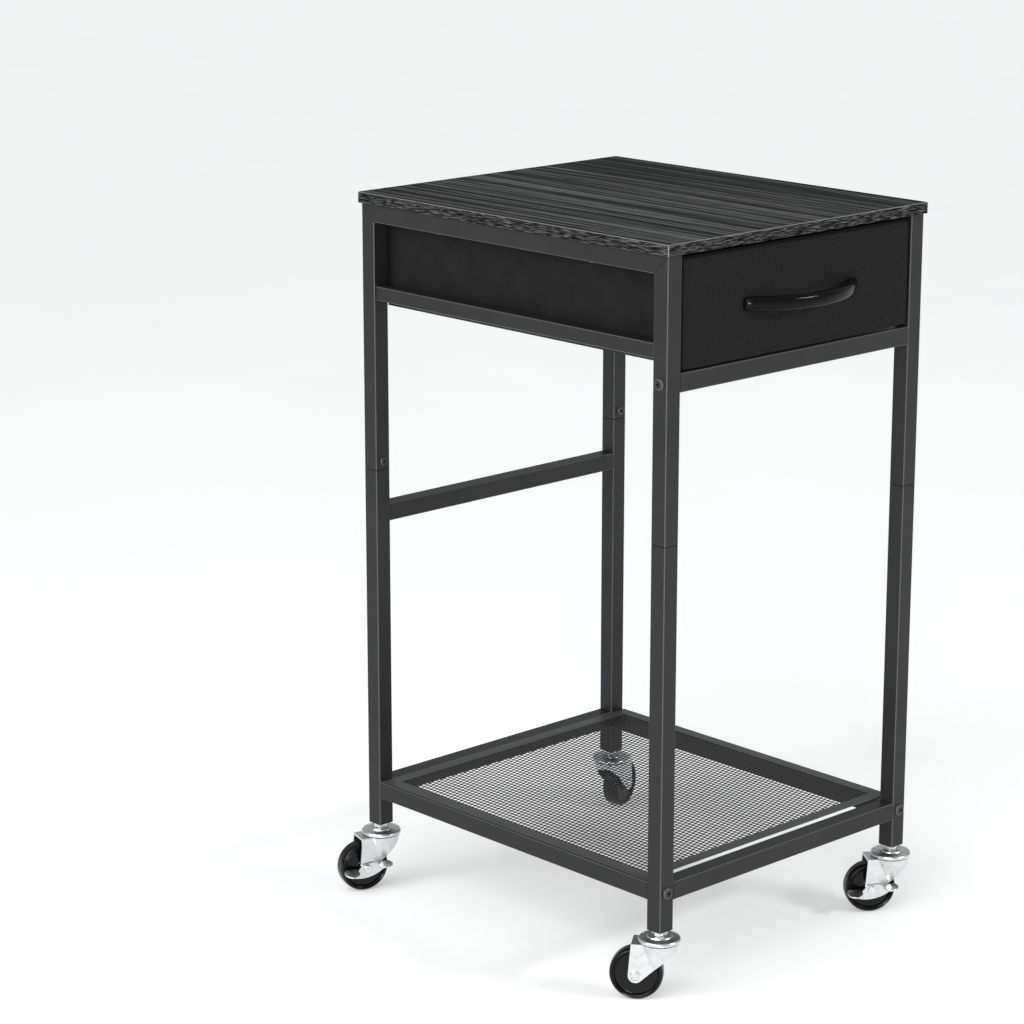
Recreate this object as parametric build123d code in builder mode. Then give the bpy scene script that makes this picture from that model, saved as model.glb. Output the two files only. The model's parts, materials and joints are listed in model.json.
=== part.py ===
"""Rolling computer-tower stand: a square-tube frame on four swivel casters.

A board lies on top, a fabric drawer hangs below it, and a computer tower stands on the
expanded-metal shelf.  Millimetres.  +Z is up and the drawer opens towards -Y.  The origin is
on the floor, below the middle of the whole outline, and the frame stands a little off it.
"""

import os
from math import cos, radians, sin

from build123d import *

# ---------------------------------------------------------------- driving dimensions
tube = 20.0  # outside width of the square frame tube
tube_wall = 1.2
tube_corner = 1.5
slim_tube = 16.0  # outside width of the two rails beside the drawer

board_width = 400.0
board_depth = 475.0
board_thickness = 12.0
board_overhang = 3.0

caster_height = 78.0  # floor to leg end
leg_length = 720.0
seam_height = 420.0  # leg end to the joint between the lower and upper leg
seam_groove = 0.4  # small groove where two tube ends meet
shelf_rail_height = 33.0  # leg end to the underside of the shelf rails
mid_rail_height = 359.0
drawer_cross_height = 578.5
drawer_side_height = 613.0

shelf_sheet = 1.2
shelf_border = 15.0
shelf_gap = 3.5  # open slit between the shelf and each cross rail
shelf_inset = 1.5  # shelf edge behind the outer face of the side rails

front_height = 115.3  # drawer front
front_thickness = 12.0
front_gap = 2.5  # drawer front to each leg
front_top_gap = 5.0
box_width = 344.0
box_length = 449.0
box_height = 95.7
fabric_wall = 3.0
fabric_base = 2.0
seam_radius = 2.5
bottom_board = 3.0

handle_span = 166.0  # between the points where the handle's middle line meets the panel
handle_reach = 33.0  # panel to the middle line of the bow
handle_height = 15.5
handle_bar = 10.5
handle_screw_spacing = 164.0

bolt_radius = 3.0
bolt_clearance = 0.1
joint_screw_radius = 2.5
small_screw_radius = 2.0
board_screw_spacing = 235.0

wheel_radius = 29.0
wheel_width = 20.0
trail = 24.0  # swivel axis to wheel axis
axle_radius = 3.0
fork_sheet = 2.0
fork_gap = 23.0  # between the two cheeks
fork_top = 64.5
cap_radius = 22.8
stem_radius = 5.0
kingpin_radius = 5.5
lever_sheet = 2.0
lever_gap = 0.4
paddle_radius = 9.0

# Middle of the frame, seen from the middle of the whole stand's outline on the floor.
frame_x = 2.94
frame_y = 11.70

# Direction in which each caster trails, in degrees from +X towards +Y.
caster_heading = {
    "front_left": 128.0,
    "front_right": 145.0,
    "back_left": 162.0,
    "back_right": 18.0,
}
braked = ("front_right", "back_left")

# ---------------------------------------------------------------- derived places
frame_width = board_width - 2 * board_overhang
frame_depth = board_depth - 2 * board_overhang
leg_x = (frame_width - tube) / 2
leg_y = (frame_depth - tube) / 2
clear_x = frame_width / 2 - tube
clear_y = frame_depth / 2 - tube
leg_end = caster_height
board_under = caster_height + leg_length
seam = leg_end + seam_height
shelf_rail_z = leg_end + shelf_rail_height + tube / 2
shelf_z = shelf_rail_z + tube / 2
mid_rail_z = leg_end + mid_rail_height + tube / 2
drawer_cross_z = leg_end + drawer_cross_height + tube / 2
drawer_side_z = leg_end + drawer_side_height + slim_tube / 2
top_rail_z = board_under - tube / 2
joint_screw_z = seam + 9.5
front_face = -frame_depth / 2
front_top = board_under - front_top_gap
front_mid = front_top - front_height / 2
box_front = front_face + front_thickness
box_floor = drawer_side_z - slim_tube / 2 - 4.7
runner_top = box_floor - 0.3

SIDES = {"left": -1, "right": 1}
ENDS = {"front": -1, "back": 1}
CORNERS = {f"{end}_{side}": (SIDES[side] * leg_x, ENDS[end] * leg_y) for end in ENDS for side in SIDES}

to_row = Location((frame_x, frame_y, 0))

os.makedirs("parts", exist_ok=True)


def save(shape, name):
    """Move a finished piece from the frame's middle to the row's origin and write its STEP file."""
    placed = shape.moved(to_row)
    placed.label = name
    export_step(placed, f"parts/{name}.step")


def group(name, solids):
    """Write a set of loose pieces as one node."""
    loose = Compound(children=[solid.moved(to_row) for solid in solids])
    loose.label = name
    export_step(loose, f"parts/{name}.step")


# ---------------------------------------------------------------- tubes
def tube_section(size):
    """Draw the rounded square ring of a tube in the sketch that is open."""
    inner = size - 2 * tube_wall
    RectangleRounded(size, size, tube_corner)
    RectangleRounded(inner, inner, tube_corner - tube_wall, mode=Mode.SUBTRACT)


def cross_hole(point, direction, radius, depth):
    """Cut a round hole through the open part, depth to each side of point."""
    with BuildSketch(Plane(origin=point, z_dir=direction)) as hole:
        Circle(radius)
    extrude(hole.sketch, amount=depth, both=True, mode=Mode.SUBTRACT)


def groove(part, normal, far):
    """Break the outer edges of the part's end face that looks along normal and lies furthest that way."""
    along = Vector(*normal).normalized()
    flat = part.faces().filter_by(lambda face: abs(face.normal_at().dot(along)) > 0.999)
    ends = flat.sort_by(lambda face: face.center().dot(along) * far)
    chamfer(ends[-1].outer_wire().edges(), seam_groove)


def mitre(y_end, keep):
    """Cut the open part at 45 degrees where a top rail turns down into a leg."""
    lean = -1 if y_end > 0 else 1
    split(bisect_by=Plane(origin=(0, y_end, board_under), z_dir=(0, lean, 1)), keep=keep)


for corner, (x, y) in CORNERS.items():
    y_side = 1 if y > 0 else -1
    inner_wall = y - y_side * tube / 2

    with BuildPart() as lower_leg:
        with BuildSketch(Plane.XY.offset(leg_end).move(Location((x, y, 0)))):
            tube_section(tube)
        extrude(amount=seam_height)
        groove(lower_leg, (0, 0, 1), 1)
        cross_hole((x, y, shelf_rail_z), (0, 1, 0), bolt_radius + bolt_clearance, tube)
    save(lower_leg.part, f"lower_leg_{corner}")

    with BuildPart() as upper_leg:
        with BuildSketch(Plane.XY.offset(seam).move(Location((x, y, 0)))):
            tube_section(tube)
        extrude(amount=board_under - seam)
        groove(upper_leg, (0, 0, 1), -1)
        mitre(y + y_side * tube / 2, Keep.BOTTOM)
        groove(upper_leg, (0, -y_side, 1), 1)
        if y < 0:
            cross_hole((x, y, drawer_cross_z), (1, 0, 0), bolt_radius + bolt_clearance, tube)
        cross_hole((x, inner_wall, joint_screw_z), (0, 1, 0), joint_screw_radius + bolt_clearance, 3)
    save(upper_leg.part, f"upper_leg_{corner}")

for side, x_side in SIDES.items():
    x = x_side * leg_x

    with BuildPart() as top_rail:
        with BuildSketch(Plane(origin=(x, 0, top_rail_z), x_dir=(1, 0, 0), z_dir=(0, 1, 0))):
            tube_section(tube)
        extrude(amount=frame_depth / 2, both=True)
        mitre(-frame_depth / 2, Keep.TOP)
        mitre(frame_depth / 2, Keep.TOP)
        for y in (-board_screw_spacing / 2, board_screw_spacing / 2):
            cross_hole((x, y, top_rail_z), (0, 0, 1), small_screw_radius + bolt_clearance, tube)
    save(top_rail.part, f"top_rail_{side}")

    with BuildPart() as drawer_side_rail:
        with BuildSketch(Plane(origin=(x, 0, drawer_side_z), x_dir=(1, 0, 0), z_dir=(0, 1, 0))):
            tube_section(slim_tube)
        extrude(amount=clear_y, both=True)
    save(drawer_side_rail.part, f"drawer_side_rail_{side}")

    with BuildPart() as shelf_side_rail:
        with BuildSketch(Plane(origin=(x, 0, shelf_rail_z), x_dir=(1, 0, 0), z_dir=(0, 1, 0))):
            tube_section(tube)
        extrude(amount=clear_y, both=True)
    save(shelf_side_rail.part, f"shelf_side_rail_{side}")

CROSS_RAILS = {
    "drawer_cross_rail": (-leg_y, drawer_cross_z),
    "shelf_cross_rail_front": (-leg_y, shelf_rail_z),
    "shelf_cross_rail_back": (leg_y, shelf_rail_z),
    "back_mid_rail": (leg_y, mid_rail_z),
}
for name, (y, z) in CROSS_RAILS.items():
    with BuildPart() as cross_rail:
        with BuildSketch(Plane(origin=(0, y, z), x_dir=(0, 1, 0), z_dir=(1, 0, 0))):
            tube_section(tube)
        extrude(amount=clear_x, both=True)
    save(cross_rail.part, name)

# ---------------------------------------------------------------- drawer runners
# Each runner is an L of folded sheet, welded inside the rail beside the drawer.
runner_sheet = 1.5
runner_ledge = 18.0
runner_height = 18.0
runner_length = 2 * clear_y - 5
rail_inner_face = leg_x - slim_tube / 2

for side, x_side in SIDES.items():
    with BuildPart() as runner:
        with BuildSketch(Plane(origin=(0, 0, 0), x_dir=(1, 0, 0), z_dir=(0, -1, 0))):
            with BuildLine():
                Polyline(
                    (x_side * rail_inner_face, runner_top - runner_sheet),
                    (x_side * rail_inner_face, runner_top - runner_sheet + runner_height),
                    (x_side * (rail_inner_face - runner_sheet), runner_top - runner_sheet + runner_height),
                    (x_side * (rail_inner_face - runner_sheet), runner_top),
                    (x_side * (rail_inner_face - runner_ledge), runner_top),
                    (x_side * (rail_inner_face - runner_ledge), runner_top - runner_sheet),
                    close=True,
                )
            make_face()
        extrude(amount=runner_length / 2, both=True)
    save(runner.part, f"drawer_runner_{side}")

# ---------------------------------------------------------------- top board
with BuildPart() as top_board:
    with BuildSketch(Plane.XY.offset(board_under)):
        RectangleRounded(board_width, board_depth, 1.5)
    extrude(amount=board_thickness)
    chamfer(top_board.edges().filter_by(GeomType.LINE).group_by(Axis.Z)[-1], 0.6)
    with BuildSketch(Plane.XY.offset(board_under)):
        with GridLocations(2 * leg_x, board_screw_spacing, 2, 2):
            Circle(small_screw_radius)
    extrude(amount=8, mode=Mode.SUBTRACT)
save(top_board.part, "top_board")

# ---------------------------------------------------------------- shelf
shelf_width = frame_width - 2 * shelf_inset
shelf_depth = 2 * clear_y - 2 * shelf_gap
mesh_width = shelf_width - 2 * shelf_border
mesh_depth = shelf_depth - 2 * shelf_border
border_seam = 0.6
border_seam_y = 20.0  # the border is bent from two strips that meet here

with BuildPart() as shelf_mesh:
    with BuildSketch(Plane.XY.offset(shelf_z)):
        RectangleRounded(mesh_width, mesh_depth, 1)
    extrude(amount=shelf_sheet)
save(shelf_mesh.part, "shelf_mesh")

BORDER_SPANS = {
    "shelf_border_front": (-shelf_depth / 2, border_seam_y - border_seam / 2),
    "shelf_border_back": (border_seam_y + border_seam / 2, shelf_depth / 2),
}
for name, (y_low, y_high) in BORDER_SPANS.items():
    with BuildPart() as border:
        with BuildSketch(Plane.XY.offset(shelf_z)):
            RectangleRounded(shelf_width, shelf_depth, 2)
            RectangleRounded(mesh_width, mesh_depth, 1, mode=Mode.SUBTRACT)
        extrude(amount=shelf_sheet)
        with BuildSketch(Plane.XY.offset(shelf_z - 1)):
            with Locations((0, (y_low + y_high) / 2)):
                Rectangle(shelf_width + 2, y_high - y_low)
        extrude(amount=shelf_sheet + 2, mode=Mode.INTERSECT)
    save(border.part, name)

# ---------------------------------------------------------------- fasteners of the frame
bolt_head_radius = 6.5
bolt_head_height = 3.0
bolt_length = 34.0
nut_size = tube - 2 * tube_wall - 0.4
nut_length = 9.0
sleeve_size = tube - 2 * tube_wall - 0.4
sleeve_wall = 1.5
sleeve_length = 80.0


def button_bolt(point, direction, radius, head_radius, head_height, length):
    """A socket button bolt: its head stands on point and its shank runs against direction."""
    side = (1, 0, 0) if direction[2] else (0, 0, 1)
    across = Vector(*side).cross(Vector(*direction))
    with BuildPart() as bolt:
        with BuildSketch(Plane(origin=point, x_dir=side, z_dir=across)):
            with BuildLine():
                Polyline((0, head_height), (0, -length), (radius, -length), (radius, 0), (head_radius, 0))
                Line((head_radius, 0), (head_radius, 0.3 * head_height))
                ThreePointArc(
                    (head_radius, 0.3 * head_height),
                    (0.86 * head_radius, 0.76 * head_height),
                    (0.55 * head_radius, head_height),
                )
                Line((0.55 * head_radius, head_height), (0, head_height))
            make_face()
        revolve(axis=Axis(point, direction))
        with BuildSketch(Plane(origin=point, x_dir=side, z_dir=direction).offset(head_height)):
            RegularPolygon(radius * 0.7, 6)
        extrude(amount=-head_height * 0.7, mode=Mode.SUBTRACT)
    return bolt.part


def weld_nut(point, direction):
    """A square threaded plug fixed inside a rail end."""
    with BuildPart() as nut:
        with BuildSketch(Plane(origin=point, x_dir=(0, 0, 1), z_dir=direction)):
            RectangleRounded(nut_size, nut_size, 0.8)
            Circle(bolt_radius + 0.02, mode=Mode.SUBTRACT)
        extrude(amount=nut_length)
    return nut.part


drawer_bolts = []
shelf_bolts = []
nuts = []
joint_screws = []
sleeves = []
inserts = []
insert_length = 20.0
for x, y in CORNERS.values():
    x_side = 1 if x > 0 else -1
    y_side = 1 if y > 0 else -1
    shelf_bolts.append(
        button_bolt(
            (x, y + y_side * tube / 2, shelf_rail_z),
            (0, y_side, 0),
            bolt_radius,
            bolt_head_radius,
            bolt_head_height,
            bolt_length,
        )
    )
    if y < 0:
        drawer_bolts.append(
            button_bolt(
                (x + x_side * tube / 2, y, drawer_cross_z),
                (x_side, 0, 0),
                bolt_radius,
                bolt_head_radius,
                bolt_head_height,
                bolt_length,
            )
        )
        nuts.append(weld_nut((x_side * clear_x, y, drawer_cross_z), (-x_side, 0, 0)))
    nuts.append(weld_nut((x, y_side * clear_y, shelf_rail_z), (0, -y_side, 0)))
    joint_screws.append(
        button_bolt((x, y_side * clear_y, joint_screw_z), (0, -y_side, 0), joint_screw_radius, 4.75, 2.6, 8)
    )
    with BuildPart() as sleeve:
        with BuildSketch(Plane.XY.offset(seam - sleeve_length / 2).move(Location((x, y, 0)))):
            RectangleRounded(sleeve_size, sleeve_size, 0.8)
            hollow = sleeve_size - 2 * sleeve_wall
            RectangleRounded(hollow, hollow, 0.5, mode=Mode.SUBTRACT)
        extrude(amount=sleeve_length)
        cross_hole((x, y_side * clear_y, joint_screw_z), (0, 1, 0), joint_screw_radius + 0.02, 4)
    sleeves.append(sleeve.part)
    with BuildPart() as insert:
        with BuildSketch(Plane.XY.offset(leg_end).move(Location((x, y, 0)))):
            RectangleRounded(nut_size, nut_size, 0.8)
            Circle(stem_radius, mode=Mode.SUBTRACT)
        extrude(amount=insert_length)
    inserts.append(insert.part)

board_screws = [
    button_bolt((x_side * leg_x, y, board_under - tube), (0, 0, -1), small_screw_radius, 4.2, 2.4, tube + 8)
    for x_side in (-1, 1)
    for y in (-board_screw_spacing / 2, board_screw_spacing / 2)
]

group("drawer_rail_bolts", drawer_bolts)
group("shelf_rail_bolts", shelf_bolts)
group("rail_nuts", nuts)
group("leg_joint_screws", joint_screws)
group("leg_joint_sleeves", sleeves)
group("leg_inserts", inserts)
group("board_screws", board_screws)

# ---------------------------------------------------------------- drawer
front_width = 2 * clear_x - 2 * front_gap
box_mid_y = box_front + box_length / 2
box_back = box_front + box_length

with BuildPart() as drawer_front:
    with BuildSketch(Plane(origin=(0, box_front, front_mid), x_dir=(1, 0, 0), z_dir=(0, -1, 0))):
        RectangleRounded(front_width, front_height, 3)
    extrude(amount=front_thickness)
    fillet(drawer_front.edges().group_by(Axis.Y)[0], 3)
    for x in (-handle_screw_spacing / 2, handle_screw_spacing / 2):
        cross_hole((x, box_front, front_mid), (0, 1, 0), small_screw_radius + bolt_clearance, 20)
save(drawer_front.part, "drawer_front_panel")

# The soft box is sewn from five stiffened panels: a base, two sides and two ends.
inner_width = box_width - 2 * fabric_wall
wall_base = box_floor + fabric_base
wall_height = box_height - fabric_base

with BuildPart() as box_base:
    with BuildSketch(Plane.XY.offset(box_floor).move(Location((0, box_mid_y, 0)))):
        RectangleRounded(box_width, box_length, seam_radius)
    extrude(amount=fabric_base)

box_panels = [box_base.part]
for side in (-1, 1):
    with BuildPart() as side_panel:
        with BuildSketch(Plane.XY.offset(wall_base)) as side_outline:
            with Locations((side * (box_width - fabric_wall) / 2, box_mid_y)):
                Rectangle(fabric_wall, box_length)
            fillet(side_outline.vertices().group_by(Axis.X)[-1 if side > 0 else 0], seam_radius)
        extrude(amount=wall_height)
    box_panels.append(side_panel.part)

with BuildPart() as front_panel:
    with BuildSketch(Plane.XY.offset(wall_base).move(Location((0, box_front + fabric_wall / 2, 0)))):
        Rectangle(inner_width, fabric_wall)
    extrude(amount=wall_height)
    for x in (-handle_screw_spacing / 2, handle_screw_spacing / 2):
        cross_hole((x, box_front, front_mid), (0, 1, 0), small_screw_radius + bolt_clearance, 10)
box_panels.append(front_panel.part)

with BuildPart() as back_panel:
    with BuildSketch(Plane.XY.offset(wall_base).move(Location((0, box_back - fabric_wall / 2, 0)))):
        Rectangle(inner_width, fabric_wall)
    extrude(amount=wall_height)
box_panels.append(back_panel.part)
group("drawer_fabric_box", box_panels)

with BuildPart() as stiffener:
    with BuildSketch(Plane.XY.offset(wall_base).move(Location((0, box_mid_y, 0)))):
        Rectangle(inner_width - 2, box_length - 2 * fabric_wall - 2)
    extrude(amount=bottom_board)
save(stiffener.part, "drawer_bottom_board")

bow_radius = ((handle_span / 2) ** 2 + handle_reach**2) / (2 * handle_reach)
bow_centre_y = front_face - handle_reach + bow_radius
bow_end = radians(52)  # the bow is drawn a little too long and cut off flush with the panel

with BuildPart() as handle:
    with BuildLine() as bow:
        ThreePointArc(
            (-bow_radius * sin(bow_end), bow_centre_y - bow_radius * cos(bow_end), front_mid),
            (0, bow_centre_y - bow_radius, front_mid),
            (bow_radius * sin(bow_end), bow_centre_y - bow_radius * cos(bow_end), front_mid),
        )
    with BuildSketch(Plane(origin=bow.line @ 0, x_dir=(0, 0, 1), z_dir=bow.line % 0)):
        Ellipse(handle_height / 2, handle_bar / 2)
    sweep()
    split(bisect_by=Plane(origin=(0, front_face, 0), z_dir=(0, -1, 0)), keep=Keep.TOP)
    for x in (-handle_screw_spacing / 2, handle_screw_spacing / 2):
        cross_hole((x, front_face, front_mid), (0, 1, 0), small_screw_radius + 0.02, 4)
save(handle.part, "drawer_handle")

handle_screws = [
    button_bolt(
        (x, box_front + fabric_wall, front_mid),
        (0, 1, 0),
        small_screw_radius,
        4.0,
        2.4,
        front_thickness + fabric_wall + 3.5,
    )
    for x in (-handle_screw_spacing / 2, handle_screw_spacing / 2)
]
group("drawer_handle_screws", handle_screws)

# ---------------------------------------------------------------- casters
cheek_inner = fork_gap / 2
cheek_outer = cheek_inner + fork_sheet
lever_face = cheek_outer + lever_gap
fork_back = 29.0  # swivel axis to the trailing edge of the fork's top
fork_front = -22.0
foot_radius = 8.0
crown_radius = 21.5  # round top of the fork, under the cap
crown_depth = 29.0
crown_taper = 8.0  # how much the crown narrows over its depth
axle_height = wheel_radius
head_radius = 5.0
head_thickness = 1.8
bush_radius = 4.5
bush_half = cheek_inner - 0.2
ball_radius = 2.4
ball_circle = 14.0
ball_count = 10


def caster_plane(corner):
    """Floor plane under a caster: x along its trail, y along its axle, z up."""
    x, y = CORNERS[corner]
    heading = radians(caster_heading[corner])
    return Plane(origin=(x, y, 0), x_dir=(cos(heading), sin(heading), 0), z_dir=(0, 0, 1))


def side_plane(base, offset=0.0):
    """Upright plane of a caster, with x along the trail, y up and its normal against the axle."""
    origin = base.from_local_coords(Vector(0, offset, 0))
    return Plane(origin=origin, x_dir=base.x_dir, z_dir=-base.y_dir)


def caster_stem(base):
    """Threaded stem, hexagon and riveted kingpin, all one turned piece."""
    with BuildPart() as stem:
        with BuildSketch(side_plane(base)):
            with BuildLine():
                Polyline(
                    (0, leg_end + 18),
                    (stem_radius - 1.05, leg_end + 18),
                    (stem_radius - 0.05, leg_end + 17),
                    (stem_radius - 0.05, leg_end - 4),
                    (kingpin_radius, leg_end - 4),
                    (kingpin_radius, fork_top - fork_sheet - 0.3),
                    (8, fork_top - fork_sheet - 0.3),
                    (7, fork_top - fork_sheet - 2.8),
                    (0, fork_top - fork_sheet - 2.8),
                    close=True,
                )
            make_face()
        revolve(axis=Axis(base.origin, (0, 0, 1)))
        with BuildSketch(base.offset(leg_end - 5)):
            RegularPolygon(7.5, 6, major_radius=False)
        extrude(amount=5)
    return stem.part


def caster_cap(base):
    """Pressed cap that holds the balls on the fork: a rolled edge, a groove and a raised middle."""
    lip = cap_radius - 1.8
    with BuildPart() as cap:
        with BuildSketch(side_plane(base)):
            with BuildLine():
                Polyline(
                    (cap_radius - 2.6, fork_top + 5.6),
                    (16.2, fork_top + 6.9),
                    (15.4, fork_top + 6.5),
                    (14.2, fork_top + 6.5),
                    (13.4, fork_top + 7.6),
                    (9.8, fork_top + 7.9),
                    (9.4, fork_top + 7.4),
                    (kingpin_radius, fork_top + 7.4),
                    (kingpin_radius, fork_top + 5.9),
                    (15, fork_top + 5.7),
                )
                ThreePointArc((15, fork_top + 5.7), (18.7, fork_top + 5.0), (lip, fork_top + 3.0))
                Polyline((lip, fork_top + 3.0), (lip, fork_top + 1.5), (cap_radius, fork_top + 1.5))
                Line((cap_radius, fork_top + 1.5), (cap_radius, fork_top + 2.6))
                ThreePointArc(
                    (cap_radius, fork_top + 2.6),
                    (cap_radius - 0.8, fork_top + 4.7),
                    (cap_radius - 2.6, fork_top + 5.6),
                )
            make_face()
        revolve(axis=Axis(base.origin, (0, 0, 1)))
    return cap.part


def caster_balls(base):
    """The ring of balls between cap and fork."""
    with BuildPart() as balls:
        with Locations(base.offset(fork_top + 0.3 + ball_radius)):
            with PolarLocations(ball_circle, ball_count):
                Sphere(ball_radius)
    return list(balls.solids())


def crown(base, radius, top):
    """Round shoulder of the fork, narrowing downwards."""
    with BuildPart() as cone:
        with BuildSketch(base.offset(top)):
            Circle(radius)
        with BuildSketch(base.offset(top - crown_depth)):
            Circle(radius - crown_taper)
        loft()
    return cone.part


def caster_fork(base):
    """Pressed fork: a round crown with a flat shelf behind it, and two cheeks."""
    outer_crown = crown(base, crown_radius, fork_top)
    inner_crown = crown(base, crown_radius - fork_sheet, fork_top - fork_sheet)
    with BuildPart() as blank:
        with BuildSketch(side_plane(base)):
            with Locations((fork_back, fork_top / 2)):
                Rectangle(2 * fork_back, fork_top)
        extrude(amount=cheek_outer, both=True)
        add(outer_crown)
    with BuildPart() as hollow:
        with BuildSketch(side_plane(base)):
            with Locations((fork_back + 1, (fork_top - fork_sheet) / 2)):
                Rectangle(2 * fork_back + 2, fork_top - fork_sheet)
        extrude(amount=cheek_inner, both=True)
        add(inner_crown)
    with BuildPart() as fork:
        with BuildSketch(side_plane(base)):
            with BuildLine():
                Polyline(
                    (trail + foot_radius, axle_height),
                    (fork_back, fork_top),
                    (fork_front, fork_top),
                    (fork_front, fork_top - 4),
                    (trail - foot_radius * 0.72, axle_height - foot_radius * 0.694),
                )
                ThreePointArc(
                    (trail - foot_radius * 0.72, axle_height - foot_radius * 0.694),
                    (trail + foot_radius * 0.342, axle_height - foot_radius * 0.94),
                    (trail + foot_radius, axle_height),
                )
            make_face()
        extrude(amount=2 * crown_radius, both=True)
        add(blank.part, mode=Mode.INTERSECT)
        add(hollow.part, mode=Mode.SUBTRACT)
        with BuildSketch(base.offset(fork_top - 3)):
            Circle(kingpin_radius + bolt_clearance)
        extrude(amount=6, mode=Mode.SUBTRACT)
        with BuildSketch(side_plane(base)):
            with Locations((trail, axle_height)):
                Circle(axle_radius + 0.02)
        extrude(amount=2 * cheek_outer, both=True, mode=Mode.SUBTRACT)
    return fork.part


def caster_axle(base, outer_head):
    """Riveted axle; outer_head is how far out the head on the camera side starts."""
    with BuildPart() as axle:
        with BuildSketch(side_plane(base, -cheek_outer - head_thickness)):
            with Locations((trail, axle_height)):
                Circle(axle_radius)
        extrude(amount=-(cheek_outer + 2 * head_thickness + outer_head))
        for start in (-cheek_outer - head_thickness, outer_head):
            with BuildSketch(side_plane(base, start)):
                with Locations((trail, axle_height)):
                    Circle(head_radius)
            extrude(amount=-head_thickness)
        chamfer(axle.edges().filter_by(GeomType.CIRCLE).filter_by(lambda e: e.radius > 4), 0.7)
    return axle.part


def wheel_plane(base):
    """Plane through the wheel's centre, with x along the axle and y up."""
    origin = base.from_local_coords(Vector(trail, 0, axle_height))
    return Plane(origin=origin, x_dir=base.y_dir, z_dir=base.x_dir)


def caster_wheel(base):
    """Moulded wheel with a crowned tread, dished faces and a hub."""
    centre = wheel_plane(base)
    half = wheel_width / 2
    rim = wheel_radius - 4.5
    with BuildPart() as wheel:
        with BuildSketch(centre):
            with BuildLine():
                Line((-half, bush_radius), (half, bush_radius))
                Polyline((half, bush_radius), (half, 8), (half - 3, 9), (half - 3.5, rim - 1.5), (half - 1, rim))
                Line((half - 1, rim), (half - 0.5, wheel_radius - 1.8))
                ThreePointArc((half - 0.5, wheel_radius - 1.8), (0, wheel_radius), (0.5 - half, wheel_radius - 1.8))
                Line((0.5 - half, wheel_radius - 1.8), (1 - half, rim))
                Polyline((1 - half, rim), (3.5 - half, rim - 1.5), (3 - half, 9), (-half, 8), (-half, bush_radius))
            make_face()
        revolve(axis=Axis(centre.origin, centre.x_dir))
    return wheel.part


def wheel_bush(base):
    """Steel sleeve pressed into the wheel, running on the axle."""
    centre = wheel_plane(base)
    with BuildPart() as bush:
        with BuildSketch(Plane(origin=centre.origin, z_dir=base.y_dir)):
            Circle(bush_radius)
            Circle(axle_radius + 0.05, mode=Mode.SUBTRACT)
        extrude(amount=bush_half, both=True)
    return bush.part


def paddle(base, x, z, tilt):
    """Round foot plate of a brake lever, turned out from the web and sloping down."""
    centre = base.from_local_coords(Vector(x, lever_face + 6.5, z))
    slope = radians(tilt)
    normal = base.z_dir * cos(slope) + base.y_dir * sin(slope)
    with BuildPart() as plate:
        with BuildSketch(Plane(origin=centre, x_dir=base.x_dir, z_dir=normal)):
            Circle(paddle_radius)
        extrude(amount=-lever_sheet)
        fillet(plate.edges(), 0.7)
    return plate.part


def brake_lever(base):
    """Stamped rocker on the axle, with a round foot plate turned out at each end."""
    trail_plate = paddle(base, trail + 20.5, axle_height - 0.5, 14)
    lead_plate = paddle(base, trail - 20, axle_height + 5.5, 8)
    with BuildPart() as lever:
        with BuildSketch(side_plane(base, lever_face)):
            with BuildLine():
                ThreePointArc((trail - 26, axle_height + 3), (trail, axle_height - 10.5), (trail + 25, axle_height - 6))
                Polyline(
                    (trail + 25, axle_height - 6),
                    (trail + 26, axle_height - 2.5),
                    (trail + 11, axle_height - 0.5),
                    (trail + 6, axle_height + 5),
                    (trail - 6, axle_height + 6.5),
                    (trail - 26, axle_height + 5),
                    (trail - 26, axle_height + 3),
                )
            make_face()
        extrude(amount=-lever_sheet)
        add(trail_plate)
        add(lead_plate)
        with BuildSketch(side_plane(base)):
            with Locations((trail, axle_height)):
                Rectangle(80, 60)
        extrude(amount=-lever_face, mode=Mode.SUBTRACT)
        with BuildSketch(side_plane(base, lever_face)):
            with Locations((trail, axle_height)):
                Circle(axle_radius + 0.05)
        extrude(amount=-lever_sheet, mode=Mode.SUBTRACT)
    return lever.part


stems = []
caps = []
balls = []
for corner in CORNERS:
    base = caster_plane(corner)
    stems.append(caster_stem(base))
    caps.append(caster_cap(base))
    balls.extend(caster_balls(base))
    save(caster_fork(base), f"fork_{corner}")
    save(caster_wheel(base), f"wheel_{corner}")
    save(wheel_bush(base), f"wheel_bush_{corner}")
    outer_head = cheek_outer
    if corner in braked:
        outer_head = cheek_outer + 2 * lever_gap + lever_sheet
        save(brake_lever(base), f"brake_lever_{corner}")
    save(caster_axle(base, outer_head), f"axle_{corner}")

group("caster_stems", stems)
group("caster_caps", caps)
group("caster_balls", balls)
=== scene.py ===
"""Looks of the rolling computer-tower stand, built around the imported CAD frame.

Lengths are metres, the floor is z = 0 and the drawer opens towards -Y.
"""

import json
import math

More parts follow.
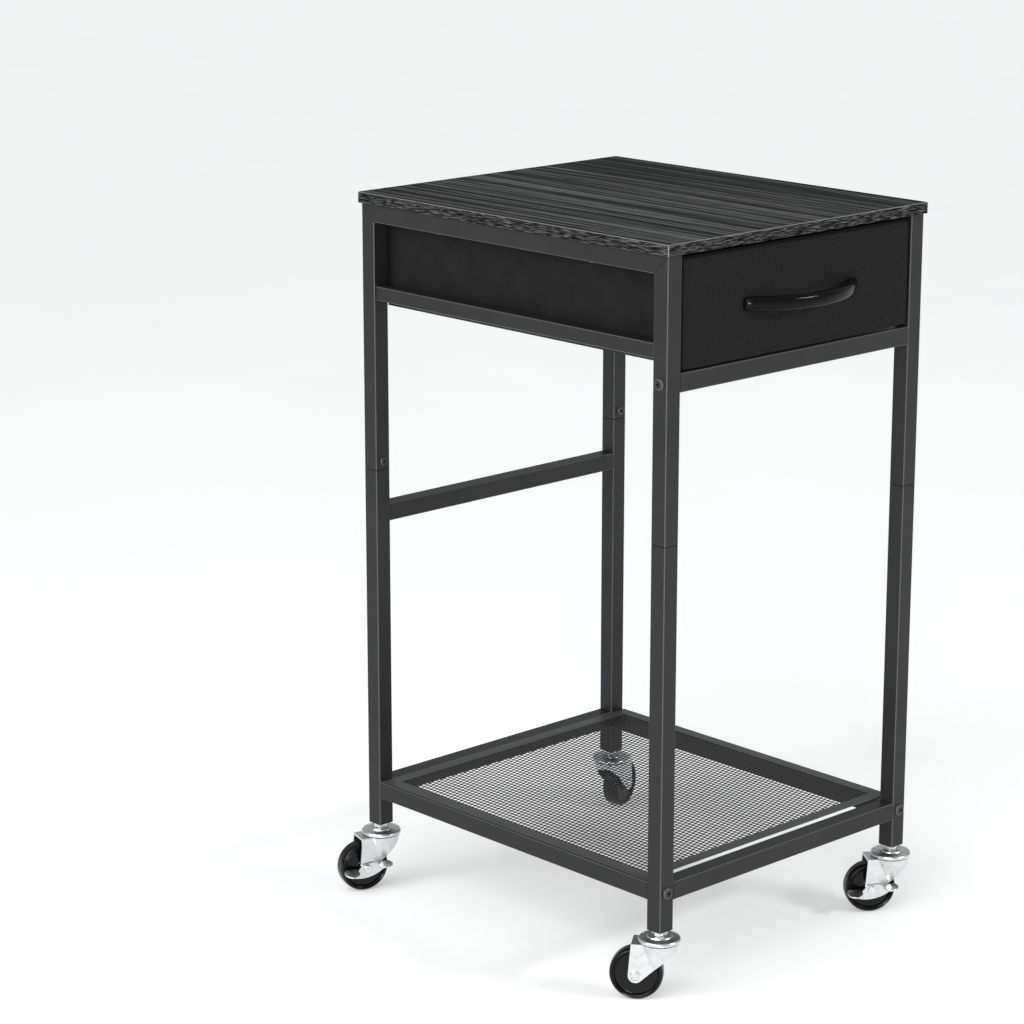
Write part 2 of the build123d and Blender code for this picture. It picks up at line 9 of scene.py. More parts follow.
import bmesh
import bpy
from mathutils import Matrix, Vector


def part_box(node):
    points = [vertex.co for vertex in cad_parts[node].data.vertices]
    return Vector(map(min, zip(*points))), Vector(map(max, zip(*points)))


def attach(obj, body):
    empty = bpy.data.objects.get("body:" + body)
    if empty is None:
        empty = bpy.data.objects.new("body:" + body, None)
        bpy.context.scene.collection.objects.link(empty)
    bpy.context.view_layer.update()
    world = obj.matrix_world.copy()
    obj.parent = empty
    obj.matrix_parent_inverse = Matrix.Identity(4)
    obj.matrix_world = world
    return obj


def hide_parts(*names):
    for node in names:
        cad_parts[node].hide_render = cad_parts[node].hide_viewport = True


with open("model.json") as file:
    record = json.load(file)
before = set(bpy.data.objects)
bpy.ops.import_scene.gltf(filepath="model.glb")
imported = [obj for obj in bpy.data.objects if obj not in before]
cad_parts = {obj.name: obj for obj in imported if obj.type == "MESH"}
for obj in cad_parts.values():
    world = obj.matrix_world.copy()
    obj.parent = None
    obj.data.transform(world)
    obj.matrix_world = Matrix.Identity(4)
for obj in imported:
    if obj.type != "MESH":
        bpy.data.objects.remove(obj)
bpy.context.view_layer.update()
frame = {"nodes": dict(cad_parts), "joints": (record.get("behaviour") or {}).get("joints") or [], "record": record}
NODES = frame["nodes"]
MM = 0.001

top_lo, top_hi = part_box("top_board")
MID_X = (top_lo.x + top_hi.x) / 2
MID_Y = (top_lo.y + top_hi.y) / 2


# ---------------------------------------------------------------- materials
class Shader:
    """A small helper that adds and links nodes of one material."""

    def __init__(self, name, **sockets):
        self.material = bpy.data.materials.new(name)
        self.material.use_nodes = True
        self.tree = self.material.node_tree
        self.bsdf = self.tree.nodes["Principled BSDF"]
        for key, value in sockets.items():
            self.bsdf.inputs[key.replace("_", " ")].default_value = value
        self.coords = self.tree.nodes.new("ShaderNodeTexCoord").outputs["Object"]

    def put(self, socket, value):
        if isinstance(value, bpy.types.NodeSocket):
            self.tree.links.new(value, socket)
        elif value is not None:
            socket.default_value = value

    def node(self, kind, inputs=None, **settings):
        made = self.tree.nodes.new("ShaderNode" + kind)
        for key, value in settings.items():
            setattr(made, key, value)
        for key, value in (inputs or {}).items():
            self.put(made.inputs[key], value)
        return made

    def scaled(self, x, y, z, source=None):
        made = self.node("Mapping", {"Vector": source or self.coords, "Scale": (x, y, z)})
        return made.outputs["Vector"]

    def noise(self, vector, scale=1.0, detail=2.0, roughness=0.5, distortion=0.0):
        grain = {"Scale": scale, "Detail": detail, "Roughness": roughness, "Distortion": distortion}
        return self.node("TexNoise", {"Vector": vector, **grain}).outputs["Fac"]

    def ramp(self, source, low, high, start=0.0, end=1.0, smooth=False):
        made = self.node(
            "MapRange",
            {"Value": source, "From Min": start, "From Max": end, "To Min": low, "To Max": high},
            interpolation_type="SMOOTHSTEP" if smooth else "LINEAR",
        )
        return made.outputs["Result"]

    def math(self, operation, a, b=0.0, clamp=False):
        made = self.node("Math", operation=operation, use_clamp=clamp)
        self.put(made.inputs[0], a)
        self.put(made.inputs[1], b)
        return made.outputs[0]

    def mix(self, factor, a, b):
        made = self.node("Mix", data_type="RGBA")
        self.put(made.inputs["Factor"], factor)
        self.put(made.inputs[6], a)
        self.put(made.inputs[7], b)
        return made.outputs[2]

    def bump(self, height, distance, strength=1.0, normal=None):
        relief = {"Height": height, "Distance": distance, "Strength": strength, "Normal": normal}
        return self.node("Bump", relief).outputs["Normal"]

    def facing(self):
        """The X, Y and Z parts of the direction that the surface faces."""
        return self.node("SeparateXYZ", {"Vector": self.node("NewGeometry").outputs["Normal"]}).outputs

    def choose(self, factor, first, second):
        """first where factor is 0 and second where it is 1."""
        made = self.node("Mix", data_type="FLOAT")
        self.put(made.inputs["Factor"], factor)
        self.put(made.inputs[2], first)
        self.put(made.inputs[3], second)
        return made.outputs[0]

    def turned_edge(self, start=0.985, end=0.90):
        """1 where the surface turns away from the piece's own flat faces, as on a rounded corner."""
        facing = self.facing()
        flat = self.math("ABSOLUTE", facing["X"])
        for axis in ("Y", "Z"):
            flat = self.math("MAXIMUM", flat, self.math("ABSOLUTE", facing[axis]))
        return self.ramp(flat, 0.0, 1.0, start, end, True)

    def finish(self, color=None, roughness=None, normal=None):
        self.put(self.bsdf.inputs["Base Color"], color)
        self.put(self.bsdf.inputs["Roughness"], roughness)
        self.put(self.bsdf.inputs["Normal"], normal)
        return self.material


def grey(value, tint=(1.0, 1.0, 1.0)):
    return (value * tint[0], value * tint[1], value * tint[2], 1.0)


def powder_coat(name, low, high, edge=None, specular=0.2, along=None):
    """Matt black paint, with a painted highlight on a tube's long corners and painted shade in the grooves at its
    joints.
    """
    s = Shader(name, Specular_IOR_Level=specular)
    peel = s.noise(s.scaled(1, 1, 1), 700, 2.0, 0.55)
    cloud = s.noise(s.scaled(1, 1, 1), 14, 3.0)
    color = s.mix(s.ramp(cloud, 0.0, 1.0, 0.3, 0.7), grey(low), grey(high))
    # painted highlight: rounded corners take the lighter tone edge
    if edge:
        line = grey(edge)
        if along:
            # painted shade: rounded faces that face along the tube, in the grooves at its ends and mitred joints,
            # go near-black
            corner = s.math("LESS_THAN", s.math("ABSOLUTE", s.facing()[along]), 0.25)
            line = s.mix(corner, grey(0.003), line)
        color = s.mix(s.turned_edge(), color, line)
    rough = s.ramp(peel, 0.34, 0.44, 0.3, 0.7)
    return s.finish(color, rough, s.bump(peel, 0.00006, 0.5))


def laminate(name):
    """Black wood print: grain along the board, across its ends, and short streaks on its edge bands, with a
    painted highlight on its eased edges.
    """
    s = Shader(name, Specular_IOR_Level=0.04)
    wander = s.noise(s.scaled(22, 3.2, 22), 1, 2.0)
    shift = s.math("MULTIPLY", wander, 0.012)
    place = s.node("SeparateXYZ", {"Vector": s.coords}).outputs
    facing = s.facing()
    end = s.math("GREATER_THAN", s.math("ABSOLUTE", facing["Y"]), 0.7)
    along = s.choose(end, place["Y"], place["X"])
    across = s.choose(end, place["X"], place["Y"])
    moved = s.node(
        "CombineXYZ", {"X": s.math("ADD", across, shift), "Y": along, "Z": place["Z"]}
    ).outputs["Vector"]
    broad = s.noise(s.scaled(270, 1.8, 270, moved), 1, 1.0, 0.5)
    fine = s.noise(s.scaled(560, 5, 560, moved), 1, 2.0, 0.6)
    pores = s.ramp(s.noise(s.scaled(800, 30, 800, moved), 1, 2.0, 0.5), 0.0, 1.0, 0.55, 0.68, True)
    grain = s.math("ADD", s.math("MULTIPLY", broad, 0.75), s.math("MULTIPLY", fine, 0.25))
    banding = s.noise(s.scaled(70, 70, 1300), 1, 3.0, 0.6)
    streaks = s.math("ADD", s.math("MULTIPLY", banding, 0.3), 0.373)
    on_top = s.math("GREATER_THAN", s.math("ABSOLUTE", facing["Z"]), 0.7)
    figure = s.choose(on_top, streaks, grain)
    tone = s.ramp(figure, 0.0, 1.0, 0.505, 0.575, True)
    color = s.mix(tone, grey(0.003), grey(0.115))
    color = s.mix(s.math("MULTIPLY", pores, 0.7), color, grey(0.003))
    # painted highlight: the eased edges are lighter
    color = s.mix(s.turned_edge(), color, grey(0.20))
    rough = s.ramp(tone, 0.5, 0.62)
    height = s.math("SUBTRACT", figure, s.math("MULTIPLY", pores, 0.3))
    return s.finish(color, rough, s.bump(height, 0.0005, 0.6))


def woven(name, low, high, pitch, sheen):
    """Plain weave whose warp and weft pass over each other in turn, with pitch metres to two threads. Its raised
    crossings are painted lighter and the hollows between threads darker, as painted highlight and shade, over
    random flecks.
    """
    s = Shader(name, Specular_IOR_Level=0.06, Sheen_Weight=sheen, Sheen_Roughness=0.4)
    slub = s.noise(s.scaled(260, 260, 260), 1, 2.0)
    turn = 2 * math.pi / pitch
    parts = s.node("SeparateXYZ", {"Vector": s.coords}).outputs
    facing = s.facing()
    wobble = s.math("MULTIPLY", slub, 0.5)
    threads = []
    for axis in ("X", "Z"):
        wrapped = s.math("GREATER_THAN", s.math("ABSOLUTE", facing[axis]), 0.75)
        place = s.choose(wrapped, parts[axis], parts["Y"])
        threads.append(s.math("ADD", s.math("MULTIPLY", place, turn), wobble))
    u, v = threads
    warp = s.math("ABSOLUTE", s.math("SINE", u))
    weft = s.math("ABSOLUTE", s.math("SINE", v))
    over = s.math("MULTIPLY", s.math("SINE", u), s.math("SINE", v))
    crossing = s.math("MULTIPLY", warp, weft)
    height = s.math("ADD", s.math("MULTIPLY", crossing, 0.7), s.math("MULTIPLY", over, 0.3))
    fleck = s.noise(s.scaled(1400, 1400, 1400), 1, 2.0)
    # painted highlight and shade: the colour follows the weave's relief, lighter on crossings and darker between
    # threads; fleck adds random tone
    tone = s.math("ADD", s.math("MULTIPLY", height, 0.7), s.math("MULTIPLY", fleck, 0.45))
    color = s.mix(s.ramp(tone, 0.0, 1.0, 0.25, 0.85, True), grey(low), grey(high))
    return s.finish(color, 0.85, s.bump(height, 0.0005, 0.9))


def felt(name, low, high):
    """Pressed cloth or board with short unordered fibres."""
    s = Shader(name, Specular_IOR_Level=0.05, Sheen_Weight=0.04, Sheen_Roughness=0.5)
    fibre = s.noise(s.scaled(1, 1, 1), 900, 3.0, 0.7, 1.5)
    cloud = s.noise(s.scaled(1, 1, 1), 30, 3.0)
    tone = s.math("ADD", s.math("MULTIPLY", fibre, 0.6), s.math("MULTIPLY", cloud, 0.4))
    color = s.mix(s.ramp(tone, 0.0, 1.0, 0.35, 0.65), grey(low), grey(high))
    return s.finish(color, 0.9, s.bump(fibre, 0.0002, 0.5))


def plain_plastic(name, value, low, high, specular=0.2):
    """Moulded plastic of one tone, with roughness from low to high."""
    s = Shader(name, Specular_IOR_Level=specular)
    cloud = s.noise(s.scaled(1, 1, 1), 60, 3.0)
    grain = s.noise(s.scaled(1, 1, 1), 1500, 2.0)
    color = s.mix(s.ramp(cloud, 0.0, 1.0, 0.3, 0.7), grey(value * 0.85), grey(value * 1.2))
    return s.finish(color, s.ramp(cloud, low, high, 0.3, 0.7), s.bump(grain, 0.00003, 0.35))


def plated(name, low, high, rough_low, rough_high, tint=(0.97, 0.985, 1.0)):
    """Zinc or steel with a faintly cloudy surface."""
    s = Shader(name, Metallic=1.0)
    cloud = s.noise(s.scaled(1, 1, 1), 90, 4.0, 0.6, 0.6)
    fine = s.noise(s.scaled(1, 1, 1), 1100, 2.0)
    color = s.mix(s.ramp(cloud, 0.0, 1.0, 0.3, 0.7), grey(low, tint), grey(high, tint))
    rough = s.ramp(cloud, rough_low, rough_high, 0.3, 0.7)
    return s.finish(color, rough, s.bump(fine, 0.00004, 0.3))


# where a powder coat is given a third tone, that tone is a painted highlight on its rounded corners
MATERIALS = {
    "frame_paint": powder_coat("rail_powder_coat", 0.016, 0.020, 0.075, along="Y"),
    "shelf_paint": powder_coat("shelf_powder_coat", 0.022, 0.03),
    "board_laminate": laminate("black_wood_laminate"),
    "front_fabric": woven("drawer_front_weave", 0.004, 0.035, 0.0037, 0.03),
    "box_fabric": felt("drawer_box_felt", 0.009, 0.017),
    "fibreboard": felt("drawer_bottom_fibre", 0.02, 0.035),
    "handle_plastic": plain_plastic("handle_gloss", 0.003, 0.12, 0.18, 0.11),
    "insert_plastic": plain_plastic("insert_plastic", 0.012, 0.4, 0.5),
    "wheel_plastic": plain_plastic("wheel_black", 0.003, 0.12, 0.2, 0.24),
    "zinc": plated("bright_zinc", 0.66, 0.8, 0.24, 0.36),
    "zinc_bright": plated("polished_zinc", 0.7, 0.85, 0.16, 0.26),
    "steel": plated("bare_steel", 0.4, 0.5, 0.35, 0.5),
    # painted highlight on the screws' rounded rims
    "black_screws": powder_coat("black_oxide", 0.006, 0.01, 0.06, 0.4),
}
# legs and cross rails: painted corner highlights and painted shade in the grooves at their joints
LEG_COAT = powder_coat("leg_powder_coat", 0.016, 0.020, 0.085, along="Z")
CROSS_COAT = powder_coat("cross_rail_powder_coat", 0.016, 0.020, 0.075, along="X")
# painted light: a lighter copy of the shelf paint standing in for the border's lit top, with a painted highlight
# on its folded edges
LIT_BORDER_COAT = powder_coat("shelf_border_lit_paint", 0.056, 0.068, 0.14)
SLOT_OF = {part["node"]: part["material_slot"] for part in frame["record"]["subparts"]}


def smooth(obj, angle=35):
    """Shade an object smooth, keeping edges sharper than angle."""
    for polygon in obj.data.polygons:
        polygon.use_smooth = True
    obj.data.set_sharp_from_angle(angle=math.radians(angle))


for name, obj in NODES.items():
    coat = MATERIALS[SLOT_OF[name]]
    if "_leg_" in name:
        coat = LEG_COAT
    elif "cross_rail" in name or name == "back_mid_rail":
        coat = CROSS_COAT
    obj.data.materials.clear()
    obj.data.materials.append(coat)
    smooth(obj, 55)
    if name == "top_board":
        edge = obj.modifiers.new("eased_edge", "BEVEL")
        edge.width = 0.9 * MM
        edge.segments = 2
        edge.limit_method = "ANGLE"
    flats = obj.modifiers.new("flat_faces_first", "WEIGHTED_NORMAL")
    flats.weight = 100
    flats.keep_sharp = True


def new_piece(name, verts, faces, body, slot, replaced=(), angle=40.0, material=None):
    """Make one mesh piece in the row frame, with outward normals, and hang it on its body."""
    mesh = bpy.data.meshes.new(name)
    mesh.from_pydata([tuple(v) for v in verts], [], faces)
    work = bmesh.new()
    work.from_mesh(mesh)
    bmesh.ops.remove_doubles(work, verts=work.verts, dist=1e-7)
    bmesh.ops.recalc_face_normals(work, faces=work.faces)
    work.to_mesh(mesh)
    work.free()
    obj = bpy.data.objects.new(name, mesh)
    bpy.context.scene.collection.objects.link(obj)
    mesh.materials.append(material or MATERIALS[slot])
    smooth(obj, angle)
    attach(obj, body)
    if replaced:
        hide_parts(*replaced)
    return obj


def loft(rings, caps=True):
    """Join closed rings of equally many points with quads; returns points and faces."""
    count = len(rings[0])
    points = [p for ring in rings for p in ring]
    faces = []
    for r in range(len(rings) - 1):
        for k in range(count):
            n = (k + 1) % count
            faces.append((r * count + k, r * count + n, (r + 1) * count + n, (r + 1) * count + k))
    if caps:
        faces.append(tuple(range(count))[::-1])
        faces.append(tuple((len(rings) - 1) * count + k for k in range(count)))
    return points, faces


# ---------------------------------------------------------------- shelf
def expanded_metal():
    """The shelf's mesh: slanted rows of holes between twisted strands."""
    lo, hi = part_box("shelf_mesh")
    step_a, step_b = Vector((6.02, 1.94, 0)) * MM, Vector((0, 5.75, 0)) * MM
    hole_x, hole_y, twist = 2.6 * MM, 2.48 * MM, 0.2 * MM
    strand = 0.55 * MM
    layer = lo.z + strand
    tuck = 4.5 * MM  # how far the mesh runs under its border
    half_x, half_y = (hi.x - lo.x) / 2, (hi.y - lo.y) / 2
    rim = [(1, 0), (1, 1), (0, 1), (-1, 1), (-1, 0), (-1, -1), (0, -1), (1, -1)]
    points, faces, seen = [], [], {}

    def corner(i, j):
        if (i, j) not in seen:
            seen[(i, j)] = len(points)
            points.append(Vector((MID_X, MID_Y, layer)) + step_a * i / 2 + step_b * j / 2)
        return seen[(i, j)]

    columns = int(half_x / step_a.x) + 2
    for i in range(-columns, columns + 1):
        middle = round(-i * step_a.y / step_b.y)
        rows = int(half_y / step_b.y) + 3
        for j in range(middle - rows, middle + rows + 1):
            centre = step_a * i + step_b * j
            if abs(centre.x) > half_x + tuck or abs(centre.y) > half_y + tuck:
                continue
            outer = [corner(2 * i + p, 2 * j + q) for p, q in rim]
            inner = []
            for p, q in rim:
                aim = (step_a * p + step_b * q) / 2
                turn = math.atan2(aim.y / hole_y, aim.x / hole_x)
                inner.append(len(points))
                points.append(
                    Vector((MID_X, MID_Y, layer + twist * math.sin(turn)))
                    + centre
                    + Vector((hole_x * math.cos(turn), hole_y * math.sin(turn), 0))
                )
            for k in range(8):
                n = (k + 1) % 8
                faces.append((outer[k], outer[n], inner[n], inner[k]))
    obj = new_piece("shelf_expanded_metal", points, faces, "frame", "shelf_paint", ("shelf_mesh",), 60)
    thick = obj.modifiers.new("strand", "SOLIDIFY")
    thick.thickness = strand
    thick.offset = 0.0
    return obj


def folded_border(name, node, seam_y, end_sign):
    """Half of the shelf's border: a strip folded over the mesh, with mitred corners."""
    front_lo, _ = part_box("shelf_border_front")
    _, back_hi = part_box("shelf_border_back")
    half_x = (back_hi.x - front_lo.x) / 2
    far = (back_hi.y - front_lo.y) / 2 * end_sign
    base = front_lo.z
    strip = 15.4
    profile = [
        (0.0, 0.95), (0.1, 1.1), (0.35, 1.2), (strip, 1.2), (strip, 0.9), (1.6, 0.9),
        (1.6, 0.3), (strip, 0.3), (strip, 0.0), (2.4, 0.0), (2.0, 0.45), (0.5, 0.7),
    ]
    rings = []
    for x_sign, at_corner in ((-1, False), (-1, True), (1, True), (1, False)):
        ring = []
        for inset, height in profile:
            x = MID_X + x_sign * (half_x - inset * MM)
            y = MID_Y + far - end_sign * inset * MM if at_corner else seam_y
            ring.append((x, y, base + height * MM))
        rings.append(ring)
    points, faces = loft(rings)
    # the border takes the lighter, painted-light copy of the shelf paint
    return new_piece(name, points, faces, "frame", "shelf_paint", (node,), 30, LIT_BORDER_COAT)


front_border_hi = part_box("shelf_border_front")[1]
back_border_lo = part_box("shelf_border_back")[0]
expanded_metal()
folded_border("shelf_border_front_fold", "shelf_border_front", front_border_hi.y, -1)
folded_border("shelf_border_back_fold", "shelf_border_back", back_border_lo.y, 1)


# ---------------------------------------------------------------- drawer
def ripple(x, y, z):
    """Gentle uneven waves of slack cloth, from -1 to 1."""
    return (
        math.sin(x * 31.0 + 1.3 * math.sin(z * 47.0) + 0.4)
        + math.sin(y * 23.0 + 1.1 * math.sin(x * 17.0 + z * 61.0))
        + 0.6 * math.sin(z * 83.0 + x * 39.0 + 2.0)
        + 0.5 * math.sin((x + y) * 71.0 + z * 29.0)
    ) / 3.1


def crease(place, middle, depth, width):
    """Depth at place of a soft crease that is depth deep at its middle."""
    return depth * math.exp(-(((place - middle) / width) ** 2))


def wrapped_front():
    """Drawer front: a board wrapped in woven cloth, soft at its edges, with a hem near its foot."""
    lo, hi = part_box("drawer_front_panel")
    columns, rows = 160, 64
    half_x, half_z = (hi.x - lo.x) / 2, (hi.z - lo.z) / 2
    mid = (lo + hi) / 2
    soft = 4.5 * MM  # radius of the panel's edges
    sink = 0.45 * MM  # keeps the waves inside the panel's CAD box
    slack = 0.35 * MM
    hem_z = lo.z + 6.5 * MM

    def spread(t):
        """Place grid lines closer together near both edges."""
        return math.sin(t * math.pi / 2) * 0.35 + t * 0.65

    def lift(u, v):
        """How far the foot of the cloth rises at its two ends and waves between them."""
        foot = max(0.0, -v) ** 8
        right = 2.6 * MM * max(0.0, (u - 0.72) / 0.28) ** 1.6
        left = 1.8 * MM * max(0.0, (-u - 0.93) / 0.07) ** 1.5
        return foot * (right + left + 0.3 * MM * math.sin(u * 9.0 + 0.6) ** 2)

    rings = []
    for layer in range(2):
        rows_points = []
        for r in range(rows + 1):
            line = []
            for c in range(columns + 1):
                u, v = spread(2 * c / columns - 1), spread(2 * r / rows - 1)
                x, z = u * half_x, v * half_z
                near_x = max(0.0, abs(x) - (half_x - soft)) / soft
                near_z = max(0.0, abs(z) - (half_z - soft)) / soft
                fall = 1 - math.sqrt(max(0.0, 1 - min(1.0, near_x**2 + near_z**2)))
                if layer:
                    line.append(Vector((mid.x + x, hi.y, mid.z + z + lift(u, v))))
                    continue
                waves = slack * ripple(x, 0.0, z) * (1 - u**4) * (1 - v**4)
                hem = crease(mid.z + z, hem_z, 0.6 * MM, 1.6 * MM)
                side = crease(half_x - abs(x), 5.0 * MM, 0.4 * MM, 1.8 * MM)
                top = crease(half_z - z, 4.5 * MM, 0.45 * MM, 1.6 * MM)
                y = lo.y + sink + fall * soft + waves + hem + side + top
                line.append(Vector((mid.x + x, y, mid.z + z + lift(u, v))))
            rows_points.append(line)
        rings.append(rows_points)
    points, faces = [], []
    index = {}
    for layer in range(2):
        for r in range(rows + 1):
            for c in range(columns + 1):
                index[(layer, r, c)] = len(points)
                points.append(rings[layer][r][c])
    for layer in range(2):
        for r in range(rows):
            for c in range(columns):
                around = ((r, c), (r, c + 1), (r + 1, c + 1), (r + 1, c))
                faces.append(tuple(index[(layer, *spot)] for spot in around))
    edge = (
        [(0, c) for c in range(columns)]
        + [(r, columns) for r in range(rows)]
        + [(rows, c) for c in range(columns, 0, -1)]
        + [(r, 0) for r in range(rows, 0, -1)]
    )
    for k, (r, c) in enumerate(edge):
        r2, c2 = edge[(k + 1) % len(edge)]
        faces.append((index[(0, r, c)], index[(0, r2, c2)], index[(1, r2, c2)], index[(1, r, c)]))
    replaced = ("drawer_front_panel",)
    return new_piece("drawer_front_cloth", points, faces, "drawer", "front_fabric", replaced, 60)


def rounded_outline(half_x, half_y, radius, side_steps, corner_steps):
    """Points and outward directions round a rectangle with rounded corners."""
    outline = []
    for quarter in range(4):
        sx = 1 if quarter in (0, 3) else -1
        sy = 1 if quarter in (0, 1) else -1
        centre = Vector(((half_x - radius) * sx, (half_y - radius) * sy, 0))
        start = quarter * math.pi / 2
        for k in range(corner_steps + 1):
            turn = start + k / corner_steps * math.pi / 2
            away = Vector((math.cos(turn), math.sin(turn), 0))
            outline.append((centre + away * radius, away))
        nxt = quarter + 1
        nsx = 1 if nxt % 4 in (0, 3) else -1
        nsy = 1 if nxt % 4 in (0, 1) else -1
        next_centre = Vector(((half_x - radius) * nsx, (half_y - radius) * nsy, 0))
        away = Vector((math.cos(nxt * math.pi / 2), math.sin(nxt * math.pi / 2), 0))
        first, last = centre + away * radius, next_centre + away * radius
        steps = side_steps[quarter % 2]
        for k in range(1, steps):
            outline.append((first.lerp(last, k / steps), away))
    return outline


def fabric_box():
    """The drawer's soft box: a sewn shell with a hem and slack walls, in which the bottom board lies."""
    lo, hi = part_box("drawer_fabric_box")
    mid = (lo + hi) / 2
    wall = 2.0 * MM
    outline = rounded_outline((hi.x - lo.x) / 2, (hi.y - lo.y) / 2, 4 * MM, (48, 64), 5)
    height = hi.z - lo.z
    hem = 14 * MM
    clear = 0.35 * MM  # gap between the taut wall and its CAD box
    sag = 1.3 * MM  # how far a slack wall leans in at most
    slack_top, foot_top = 0.86, 0.03  # levels where the slack ends and where the foot's curve ends
    # levels are heights up the wall, from 0 at its foot to 1 at its rim
    levels = [0.0, 0.012, 0.03, 0.06] + [0.1 + 0.05 * k for k in range(14)]
    levels += [1 - hem / height - 0.012, 1 - hem / height, 1 - hem / height + 0.012, 0.93, 0.975, 1.0]
    floor_z = 2.0 * MM

    def wall_ring(level, inner):
        ring = []
        for place, away in outline:
            z = lo.z + level * height
            slack = math.sin(math.pi * min(1.0, level / slack_top)) if level < slack_top else 0.0
            inward = clear + sag * slack * (0.55 + 0.45 * ripple(place.x, place.y, z))
            if level > 1 - hem / height - 0.005:
                inward = 0.1 * MM
            if level < foot_top:
                inward += 0.8 * MM * (1 - level / foot_top)
            if inner:
                inward += wall
            ring.append(Vector((mid.x, mid.y, z)) + place - away * inward)
        return ring

    rings = [wall_ring(level, False) for level in levels]
    top = levels[-1]
    rings.append([(a + b) / 2 for a, b in zip(wall_ring(top, False), wall_ring(top, True))])
    inner_levels = [level for level in reversed(levels) if level * height > floor_z]
    rings += [wall_ring(level, True) for level in inner_levels]
    rings.append([Vector((p.x, p.y, lo.z + floor_z)) for p in wall_ring(floor_z / height, True)])
    points, faces = loft(rings)
    return new_piece("drawer_soft_box", points, faces, "drawer", "box_fabric", ("drawer_fabric_box",), 50)


def bow_handle():
    """Moulded pull: a bow with a rounded section that turns back into the panel at both ends."""
    lo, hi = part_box("drawer_handle")
    mid_x, mid_z = (lo.x + hi.x) / 2, (lo.z + hi.z) / 2
    half_length, tall = (hi.x - lo.x) / 2, (hi.z - lo.z) / 2
    thick = 5.25 * MM  # half the bar's depth
    reach = hi.y - lo.y - thick
    span = 83 * MM  # from the handle's middle to where its bow meets the panel
    radius = (span**2 + reach**2) / (2 * reach)
    centre_y = hi.y - reach + radius
    ending = math.asin(span / radius)
    steps, sides = 72, 28
    rings = []
    for k in range(steps + 1):
        turn = ending * (2 * k / steps - 1)
        out = Vector((math.sin(turn), -math.cos(turn), 0))
        place = Vector((mid_x, centre_y, mid_z)) + out * radius
        near_end = max(0.0, abs(turn) / ending - 0.9) / 0.1
        swell = 1 + 0.06 * (abs(turn) / ending) ** 2
        ring = []
        for j in range(sides):
            angle = 2 * math.pi * j / sides
            c, s = math.cos(angle), math.sin(angle)
            flat = abs(c) ** 0.75 * (1 if c > 0 else -1)
            p = place + out * thick * flat * swell * (1 - 0.12 * near_end**2)
            p += Vector((0, 0, tall * (abs(s) ** 0.85) * (1 if s > 0 else -1) * (1 - 0.1 * near_end**2)))
            p.y = min(p.y, hi.y)
            p.x = min(max(p.x, mid_x - half_length), mid_x + half_length)
            ring.append(p)
        rings.append(ring)
    for side, ring in ((-1, rings[0]), (1, rings[-1])):
        foot = [Vector((p.x, hi.y, p.z)) for p in ring]
        if side < 0:
            rings.insert(0, foot)
        else:
            rings.append(foot)
    points, faces = loft(rings)
    return new_piece("drawer_bow_handle", points, faces, "drawer", "handle_plastic", ("drawer_handle",), 50)


wrapped_front()
fabric_box()
bow_handle()


# ---------------------------------------------------------------- casters
def moulded_wheel(corner, joint):
    """Wheel with a crowned tread, a raised bead beside it, a dished face and a stepped hub.

    Half the section is drawn as (radius, distance from the middle) in mm, on a wheel of drawn_radius.
    Points beyond the web's radius are then moved outwards to fit the real wheel.
    """
    node = "wheel_" + corner
    centre = Vector(joint["pos_m"])
    axis = Vector(joint["axis"]).normalized()
    side = axis.cross(Vector((0, 0, 1))).normalized()
    up = side.cross(axis).normalized()
    half = [
        (4.5, 10.0), (7.6, 10.0), (8.1, 9.6), (8.6, 7.6), (9.4, 7.1), (14.0, 6.7), (19.6, 6.6), (20.6, 6.9),
        (21.1, 8.4), (21.6, 9.3), (22.2, 9.6), (22.8, 8.7), (23.2, 9.05), (24.4, 9.35), (25.2, 9.0),
        (26.0, 8.1),
        (26.55, 6.6), (26.85, 4.5), (26.97, 2.0), (27.0, 0.35), (26.85, 0.12), (26.85, 0.0),
    ]
    drawn_radius, web = 27.0, 14.0
    grow = centre.z / MM - drawn_radius
    half = [(r + grow if r > web else r, x) for r, x in half]
    profile = half + [(r, -x) for r, x in reversed(half[:-1])]
    count = 96
    rings = []
    for r, x in profile:
        ring = []
        for k in range(count):
            turn = 2 * math.pi * k / count
            spoke = side * math.cos(turn) + up * math.sin(turn)
            ring.append(centre + axis * x * MM + spoke * r * MM)
        rings.append(ring)
    rings.append(rings[0])
    points, faces = loft(rings, caps=False)
    return new_piece("moulded_" + node, points, faces, node, "wheel_plastic", (node,), 35)


for joint in frame["joints"]:
    if joint["name"].startswith("wheel_spin_"):
        moulded_wheel(joint["name"].removeprefix("wheel_spin_"), joint)

for name, obj in NODES.items():
    pressed = name.startswith(("fork_", "brake_lever_", "axle_", "caster_caps", "caster_stems"))
    mitred = name.startswith(("top_rail_", "upper_leg_"))
    if pressed or mitred:
        edge = obj.modifiers.new("pressed_edge", "BEVEL")
        edge.width = 0.35 * MM if pressed else 0.5 * MM
        edge.segments = 2
        edge.limit_method = "ANGLE"
        edge.angle_limit = math.radians(40)
        obj.modifiers.move(len(obj.modifiers) - 1, 0)

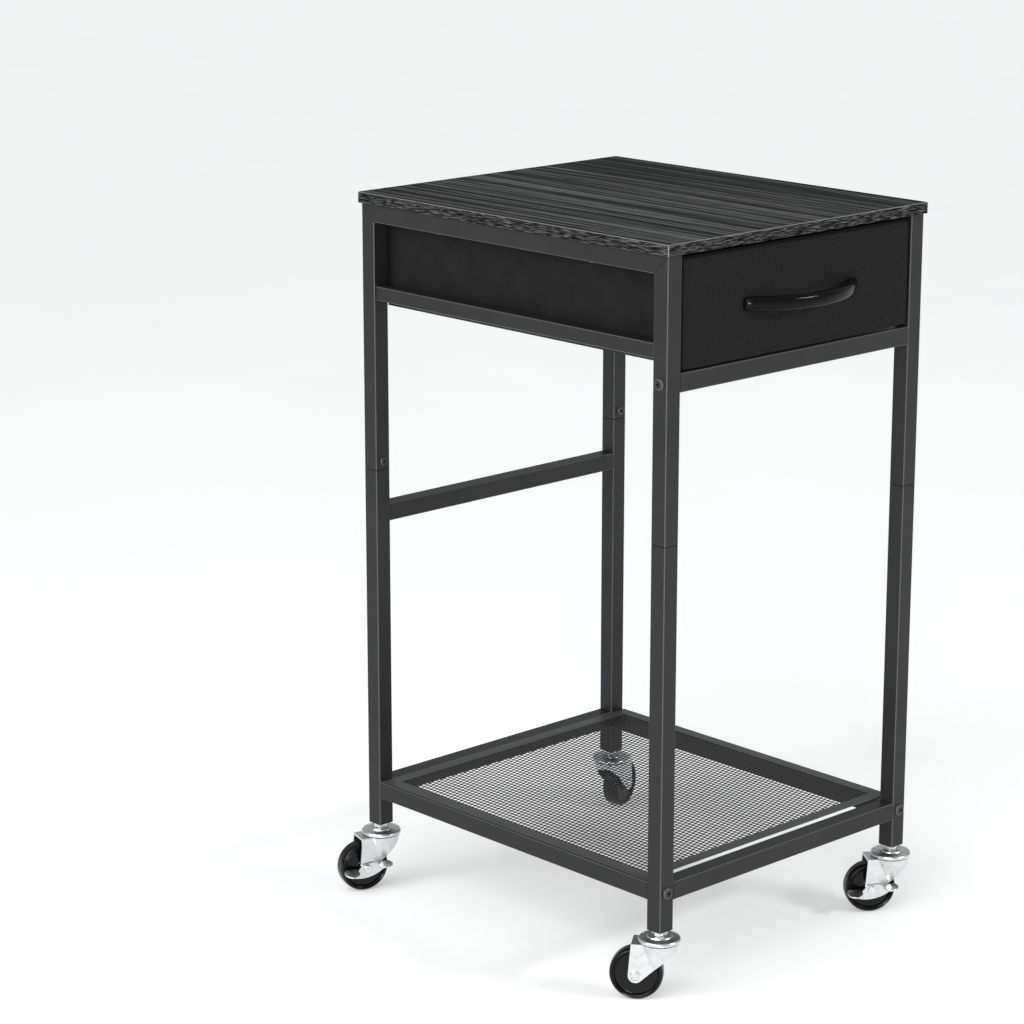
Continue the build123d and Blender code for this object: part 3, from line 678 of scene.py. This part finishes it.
# ---------------------------------------------------------------- floor, light and camera
floor_mesh = bpy.data.meshes.new("floor")
reach = 120.0  # so far that the floor's edge is close to the true horizon
corners = [(-reach, -reach, 0), (reach, -reach, 0), (reach, reach, 0), (-reach, reach, 0)]
floor_mesh.from_pydata(corners, [], [(0, 1, 2, 3)])
floor = bpy.data.objects.new("studio_floor", floor_mesh)
bpy.context.scene.collection.objects.link(floor)
floor_shader = Shader(
    "studio_floor",
    Roughness=0.75,
    Specular_IOR_Level=0.2,
    Emission_Color=(1, 1, 1, 1),
    Emission_Strength=0.28,
)
floor_cloud = floor_shader.noise(floor_shader.scaled(1, 1, 1), 3, 2.0)
floor_color = floor_shader.mix(floor_shader.ramp(floor_cloud, 0.0, 1.0, 0.3, 0.7), grey(0.86), grey(0.88))
floor_mesh.materials.append(floor_shader.finish(floor_color))

world = bpy.data.worlds.new("studio")
world.use_nodes = True
world.node_tree.nodes["Background"].inputs["Color"].default_value = (0.97, 0.985, 1.0, 1.0)
world.node_tree.nodes["Background"].inputs["Strength"].default_value = 0.42
bpy.context.scene.world = world
bpy.context.scene.view_settings.view_transform = "Standard"


def aim_at(obj, place, aim):
    obj.location = place
    obj.rotation_euler = (Vector(aim) - Vector(place)).to_track_quat("-Z", "Y").to_euler()


def area_light(name, place, aim, size, power):
    light = bpy.data.lights.new(name, "AREA")
    light.shape = "RECTANGLE"
    light.size, light.size_y = size
    light.energy = power
    obj = bpy.data.objects.new(name, light)
    bpy.context.scene.collection.objects.link(obj)
    aim_at(obj, place, aim)


sun = bpy.data.lights.new("soft_sun", "SUN")
sun.energy = 1.5
sun.angle = math.radians(50)
sun_lamp = bpy.data.objects.new("soft_sun", sun)
bpy.context.scene.collection.objects.link(sun_lamp)
aim_at(sun_lamp, (-0.80, -0.18, 0.62), (0, 0, 0))
area_light("edge_light", (-3.4, -3.3, 0.75), (0, 0, 0.42), (0.6, 0.6), 55)
area_light("handle_glint", (1.17, -2.6, 1.75), (0, -0.28, 0.735), (0.8, 0.08), 34)
area_light("left_softbox", (-2.2, 0.7, 1.5), (0, 0, 0.45), (1.0, 1.8), 16)

camera_data = bpy.data.cameras.new("camera")
camera = bpy.data.objects.new("camera", camera_data)
bpy.context.scene.collection.objects.link(camera)
camera_data.sensor_width = 36.0
camera_data.lens = 111.0
camera.location = (MID_X - 2.425, MID_Y - 2.389, 1.343)
azimuth = math.radians(-43.09)
pitch = math.radians(14.61)
forward = Vector(
    (-math.sin(azimuth) * math.cos(pitch), math.cos(azimuth) * math.cos(pitch), -math.sin(pitch))
)
camera.rotation_euler = forward.to_track_quat("-Z", "Y").to_euler()
camera_data.clip_end = 200.0
bpy.context.scene.camera = camera
